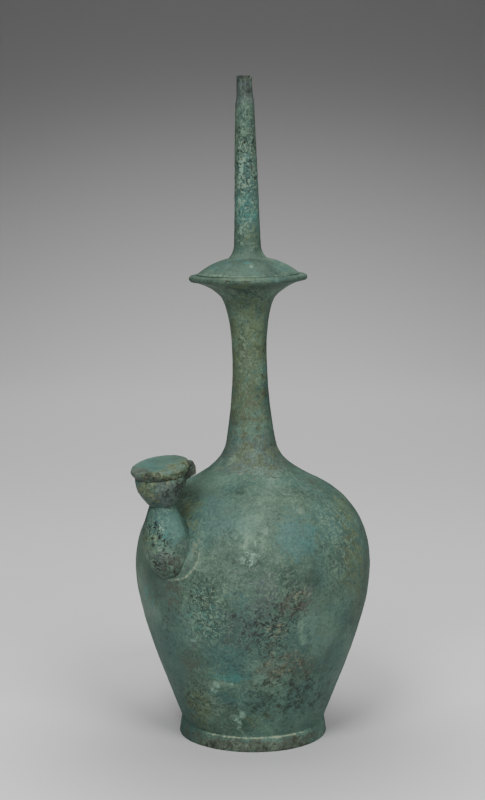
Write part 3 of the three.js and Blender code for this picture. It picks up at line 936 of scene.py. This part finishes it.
class EWER_OT_cap(bpy.types.Operator):
    """Add the domed cap with the slim tube on it"""

    bl_idname = "ewer.cap"
    bl_label = "Cap and tube"

    def execute(self, context):
        size = context.scene.ewer_cap
        body = context.scene.ewer_vessel
        top = body.plate_height + body.lip
        seat = top + 0.2 * GAP
        rim = at(size.radius, seat + 0.5 * MM)
        collar = at(size.collar, top + size.rise)
        root = at(size.tube_root, collar.y + size.fillet)
        tip = at(size.tube_tip, root.y + size.tube_length)
        gap = 1.1 * MM
        dome = [rim, *stretch(rim, collar, (0.235, 0.41), (0.626, 0.88), gap)]

        def upward(fillet_gap, tube_gap):
            """The curve from the collar to the tube, and the tube."""
            return [*stretch(collar, root, (0.7, 0.33), (0.91, 0.65), fillet_gap),
                    *stretch(root, tip, (0.31, 0.247), (0.276, 0.409), tube_gap)]

        bore = moved_inward([collar, *upward(2 * gap, 3 * gap)], size.tube_wall)
        inside = size.radius - size.wall
        under = [p for p in moved_inward(dome[::3], size.wall) if bore[0].x < p.x < inside]
        skin = [at(size.radius, seat), *dome, *upward(gap, gap)]
        hollow = [*reversed(bore), *reversed(under), at(inside, seat)]
        bm = turned(skin, hollow, segments=160, ring=True)
        self.chip_rim(bm, tip.y, size.chip)
        follow(bm, leaning_axis)
        give_relief(bm, CAP_MARKS, 0.12 * MM)
        material = patina("cap_patina", cast=0.95, blue=0.7, texture=1.2)
        finished("ewer_cap_and_tube", bm, material, "ewer", "cap_and_tube", CAP_MARKS, behind)
        return {"FINISHED"}

    @staticmethod
    def chip_rim(bm, top, chip):
        """Lowers the tube's rim unevenly, most at the chip on the right of its front."""
        start = top - 3 * chip
        chipped = math.radians(-60)
        near_rim = [vert for vert in bm.verts if vert.co.z > start]
        around = np.array([math.atan2(vert.co.y, vert.co.x) for vert in near_rim])
        ring = np.stack([np.cos(around), np.sin(around), np.zeros(len(around))], axis=1)
        towards_front = (1 - ring[:, 1]) / 2
        off = np.abs(np.angle(np.exp(1j * (around - chipped))))
        uneven = towards_front * fade(rough(ring, 0.5, 3.3), -0.6, 0.8)
        drop = chip * fade(-off, -0.8, -0.3) + 0.2 * chip * uneven
        for vert, lowered in zip(near_rim, drop):
            vert.co.z -= float(lowered) * (vert.co.z - start) / (top - start)


class Hinge:
    """The hinge's own frame: its origin is the middle of the cup's rim, +X runs out to the pin, +Z is up."""

    def __init__(self, line):
        lid = bpy.context.scene.ewer_lid
        middle, _ = line(line.rim)
        self.place = (
            spout_frame() @ Matrix.Translation((middle.x, 0, middle.y))
            @ Matrix.Rotation(line.size.rim_tilt, 4, "Y") @ Matrix.Rotation(lid.hinge_bearing, 4, "Z")
        )
        self.reach = line.size.cup_radius + lid.hinge_offset
        self.height = GAP + lid.knuckle
        self.inside = lid.tongue / 2 + GAP
        self.outside = self.inside + lid.ear

    def plate(self, outline, hole, start, end):
        """A flat leaf from one place along the pin to another. A hole that isn't 0 is the radius of a round
        hole about the pin."""
        bm = bmesh.new()
        rings = [outline]
        if hole:
            rings.append([(self.reach + hole * math.cos(a), self.height + hole * math.sin(a))
                          for a in (math.tau * i / 32 for i in range(32))])
        edges = []
        for ring in rings:
            verts = [bm.verts.new((x, start, z)) for x, z in ring]
            edges += [bm.edges.new(pair) for pair in zip(verts, verts[1:] + verts[:1])]
        bmesh.ops.triangle_fill(bm, use_beauty=True, edges=edges)
        made = bmesh.ops.extrude_face_region(bm, geom=bm.faces[:])["geom"]
        bmesh.ops.translate(bm, vec=(0, end - start, 0), verts=only_verts(made))
        bmesh.ops.recalc_face_normals(bm, faces=bm.faces)
        all_skin(bm)
        return bm

    def leaf(self, radius, start, end, corners):
        """A round end about the pin, which runs on to its corners."""
        steps = 24
        arc = [start + (end - start) * i / steps for i in range(steps + 1)]
        round_end = [(self.reach + radius * math.cos(a), self.height + radius * math.sin(a)) for a in arc]
        return round_end + corners


def joined(*parts):
    """The parts as one mesh."""
    whole = bmesh.new()
    whole.verts.layers.float.new(SKIN)
    for part in parts:
        mesh = as_mesh(part, "joining")
        whole.from_mesh(mesh)
        bpy.data.meshes.remove(mesh)
    return whole


def rounded(bm, width):
    """Bevels the sharp edges."""
    least = math.radians(40)
    sharp = [edge for edge in bm.edges if edge.is_manifold and edge.calc_face_angle() > least]
    bevelled(bm, sharp, width, segments=2)
    return bm


class EWER_OT_spout(bpy.types.Operator):
    """Add the side spout: bulb, pinched waist, cup and hinge ears"""

    bl_idname = "ewer.spout"
    bl_label = "Spout"

    def execute(self, context):
        lid = context.scene.ewer_lid
        line = SpoutLine()
        size = line.size
        skin = spout_skin(line, 0.8 * MM)
        rim = [at(size.cup_radius - 0.15 * MM, line.rim - 0.1 * MM), at(size.cup_radius - 0.5 * MM, line.rim)]
        inside = moved_inward(spout_skin(line, 1.6 * MM), size.wall)
        inside = [p for p in inside if p.y < line.rim - 1 * MM]
        edge = at(size.cup_radius - size.wall, line.rim)
        shell = turned([*skin, *rim], [edge, *reversed(inside)], segments=128, ring=True)
        follow(shell, line)
        shell.transform(spout_frame())
        give_relief(shell, SPOUT_MARKS, 0.16 * MM)
        shell = carved(shell, self.body_bulk())
        hinge = Hinge(line)
        nose = hinge.reach + lid.knuckle
        heel = size.cup_radius - size.wall + 0.6 * MM
        heel_depth, nose_depth, draft = 4 * MM, 1 * MM, 0.8 * MM
        corners = [(heel, 0), (heel - draft, -heel_depth), (nose, -nose_depth), (nose, 0)]
        base = hinge.plate(corners, 0, -hinge.outside, hinge.outside)
        ears = []
        outline = hinge.leaf(lid.knuckle, 0, math.pi, [(hinge.reach - lid.knuckle, -GAP), (nose, -GAP)])
        for start, end in ((hinge.inside, hinge.outside), (-hinge.outside, -hinge.inside)):
            ears.append(rounded(hinge.plate(outline, lid.pin + GAP / 2, start, end), 0.3 * MM))
        bracket = joined(rounded(base, 0.35 * MM), *ears)
        bracket.transform(hinge.place)
        give_relief(bracket, {}, 0.05 * MM)
        material = patina("spout_patina", cast=1.04, blue=0.5, texture=1.25)
        finished("ewer_spout", joined(shell, bracket), material, "ewer", "spout",
                 SPOUT_MARKS, self.unseen)
        return {"FINISHED"}

    @staticmethod
    def unseen(points):
        return fade(points[:, 0], -36 * MM, -30 * MM)

    @staticmethod
    def body_bulk():
        """The whole bulk of the body, grown by the clearance, which trims the spout's root."""
        outline = moved_inward(vessel_line(3 * MM, stretches=3), -GAP)
        bulk = turned([], [at(0, outline[0].y), *outline, at(0, outline[-1].y)], segments=160)
        follow(bulk, leaning_axis)
        return bulk


class EWER_OT_lid(bpy.types.Operator):
    """Add the spout's lid with its hinge tongue"""

    bl_idname = "ewer.lid"
    bl_label = "Spout lid"

    def execute(self, context):
        size = context.scene.ewer_lid
        hinge = Hinge(SpoutLine())
        recess = size.thickness - size.plate
        hollow_radius = size.foot_radius - size.rim_wall
        gap = 0.7 * MM
        under = [at(0, recess), at(hollow_radius, recess), at(hollow_radius, 0)]
        outline = straight([
            at(hollow_radius, 0), at(size.foot_radius - 0.3 * MM, 0), at(size.foot_radius, 0.25 * MM),
            at(size.radius - 0.1 * MM, size.band - 0.6 * MM), at(size.radius, size.band),
            at(size.top_radius + 0.5 * MM, size.thickness - 0.35 * MM),
            at(size.top_radius - 0.2 * MM, size.thickness), at(0, size.thickness),
        ], gap)
        bm = turned([at(0, recess), *straight(under, 2 * MM), *outline], [], segments=144)
        away = Vector((-math.cos(size.hinge_bearing), math.sin(size.hinge_bearing), 0.0))
        for vert in bm.verts:
            rise = math.tan(size.slope) * vert.co.dot(away) / size.thickness
            vert.co.z = GAP + vert.co.z * (1 + rise)
        clear = size.knuckle + GAP
        foot = -1 * MM
        notch = hinge.leaf(clear, 0, math.pi, [(hinge.reach - clear, foot), (hinge.reach + clear, foot)])
        half = hinge.outside + GAP
        bm = carved(bm, hinge.plate(notch, 0, -half, half))
        bm.transform(hinge.place)
        give_relief(bm, LID_MARKS, 0.15 * MM)
        root = size.foot_radius - size.rim_wall / 2
        top = hinge.height + size.knuckle
        tongue = hinge.leaf(size.knuckle, -math.pi / 2, math.pi / 2, [(root, top), (root, GAP)])
        tongue = rounded(hinge.plate(tongue, size.pin + GAP / 2, -size.tongue / 2, size.tongue / 2), 0.3 * MM)
        tongue.transform(hinge.place)
        material = patina("lid_patina", cast=1.05, blue=0.6)
        finished("ewer_spout_lid", joined(bm, tongue), material, "lid", "spout_lid",
                 LID_MARKS, self.unseen)
        return {"FINISHED"}

    @staticmethod
    def unseen(points):
        return 0.5 * fade(points[:, 1], -46 * MM, -38 * MM)


class EWER_OT_pin(bpy.types.Operator):
    """Add the hinge pin"""

    bl_idname = "ewer.pin"
    bl_label = "Hinge pin"

    def execute(self, context):
        size = context.scene.ewer_lid
        hinge = Hinge(SpoutLine())
        half = hinge.outside + 0.2 * MM
        bm = bmesh.new()
        bmesh.ops.create_cone(bm, cap_ends=True, segments=32, radius1=size.pin, radius2=size.pin,
                              depth=2 * half)
        bmesh.ops.rotate(bm, cent=(0, 0, 0), matrix=Matrix.Rotation(math.pi / 2, 3, "X"), verts=bm.verts)
        bmesh.ops.translate(bm, vec=(hinge.reach, 0, hinge.height), verts=bm.verts)
        rounded(bm, 0.15 * MM)
        all_skin(bm)
        bm.transform(hinge.place)
        material = patina("pin_patina", cast=0.6)
        finished("ewer_hinge_pin", bm, material, "ewer", "hinge_pin", {})
        return {"FINISHED"}


# Soft lights: name, place, aim, diameter, and how far they spread in degrees
MIDDLE = (0.0, 0.0, 0.16)
LIGHTS = (
    ("key", (-0.5, -1.3, 1.5), MIDDLE, 0.8, 90),
    ("fill", (0.65, -1.25, 1.3), MIDDLE, 0.8, 90),
    ("top", (0.0, 0.2, 1.7), MIDDLE, 1.2, 150),
    ("low", (0.0, -1.25, 0.25), MIDDLE, 0.6, 120),
    ("back", (0.0, 1.55, 1.2), (0.0, 1.56, 0.0), 0.6, 110),
)


class EWER_OT_stage(bpy.types.Operator):
    """Add the pale floor, the soft lights and the camera"""

    bl_idname = "ewer.stage"
    bl_label = "Stage"

    def execute(self, context):
        scene = context.scene
        settings = scene.ewer_stage
        self.add_floor(settings)
        for name, place, target, size, spread in LIGHTS:
            lamp = bpy.data.lights.new(name + "_light", "AREA")
            lamp.shape = "DISK"
            lamp.size = size
            lamp.spread = math.radians(spread)
            lamp.energy = getattr(settings, name)
            light = placed(lamp.name, lamp)
            light.location = place
            light.rotation_euler = (Vector(target) - light.location).to_track_quat("-Z", "Y").to_euler()
        world = bpy.data.worlds.new("soft_grey")
        world.use_nodes = True
        sky = world.node_tree.nodes["Background"].inputs
        sky["Color"].default_value = (0.8, 0.8, 0.8, 1.0)
        sky["Strength"].default_value = settings.sky
        scene.world = world
        camera = placed("camera", bpy.data.cameras.new("camera"))
        camera.data.lens = 80.0
        camera.data.sensor_width = 36.0
        camera.location = (-0.006, -0.987, 0.328)
        camera.rotation_euler = (math.radians(82.08), 0.0, 0.0)
        scene.camera = camera
        return {"FINISHED"}

    @staticmethod
    def add_floor(settings):
        """A floor that sweeps up into a backdrop far behind, with a soft shadow round the foot painted into
        its colour.
        """
        half_width, front, back, height, sweep = 6.0, -5.0, 3.0, 4.0, 1.4
        bm = bmesh.new()
        corners = [bm.verts.new((-half_width, y, z)) for y, z in ((front, 0.0), (back, 0.0), (back, height))]
        edges = [bm.edges.new(pair) for pair in zip(corners, corners[1:])]
        made = bmesh.ops.extrude_edge_only(bm, edges=edges)["geom"]
        bmesh.ops.translate(bm, vec=(2 * half_width, 0.0, 0.0), verts=only_verts(made))
        fold = [edge for edge in bm.edges if len(edge.link_faces) == 2]
        bevelled(bm, fold, sweep, segments=24)
        bmesh.ops.recalc_face_normals(bm, faces=bm.faces)
        mesh = as_mesh(bm, "floor")
        mesh.shade_smooth()
        shade = Shade("floor_grey")
        place = shade.put("ShaderNodeTexCoord", {}).outputs["Object"]
        away = shade.vector("DISTANCE", place, (0.0, -0.03, 0.0))["Value"]
        # Painted shadow: the floor's grey darkens towards the foot, where a soft shadow falls.
        painted_shadow = shade.between(away, 0.18, 0.06, 0.34)
        grey = shade.mix(painted_shadow, solid(settings.floor), solid((0.0, 0.0, 0.0)))
        shade.plug(shade.shader.inputs["Base Color"], grey)
        shade.shader.inputs["Roughness"].default_value = 0.85
        mesh.materials.append(shade.material)
        placed("floor", mesh)


class EWER_PT_panel(bpy.types.Panel):
    """Lists the steps that build the ewer and their settings"""

    bl_idname = "EWER_PT_panel"
    bl_label = "Ritual water ewer"
    bl_space_type = "VIEW_3D"
    bl_region_type = "UI"
    bl_category = "Ewer"

    def draw(self, context):
        for step in STEPS:
            self.layout.operator(step.bl_idname)
        for name, group in SETTINGS.items():
            box = self.layout.box()
            settings = getattr(context.scene, name)
            for key in group.__annotations__:
                box.prop(settings, key)


STEPS = (EWER_OT_stage, EWER_OT_vessel, EWER_OT_cap, EWER_OT_spout, EWER_OT_lid, EWER_OT_pin)
CLASSES = (*SETTINGS.values(), *STEPS, EWER_PT_panel)


def register():
    for cls in CLASSES:
        bpy.utils.register_class(cls)
    for name, group in SETTINGS.items():
        setattr(bpy.types.Scene, name, bpy.props.PointerProperty(type=group))


def unregister():
    for name in SETTINGS:
        delattr(bpy.types.Scene, name)
    for cls in reversed(CLASSES):
        bpy.utils.unregister_class(cls)


def main():
    register()
    for step in STEPS:
        group, name = step.bl_idname.split(".")
        getattr(getattr(bpy.ops, group), name)()


if __name__ == "__main__":
    main()
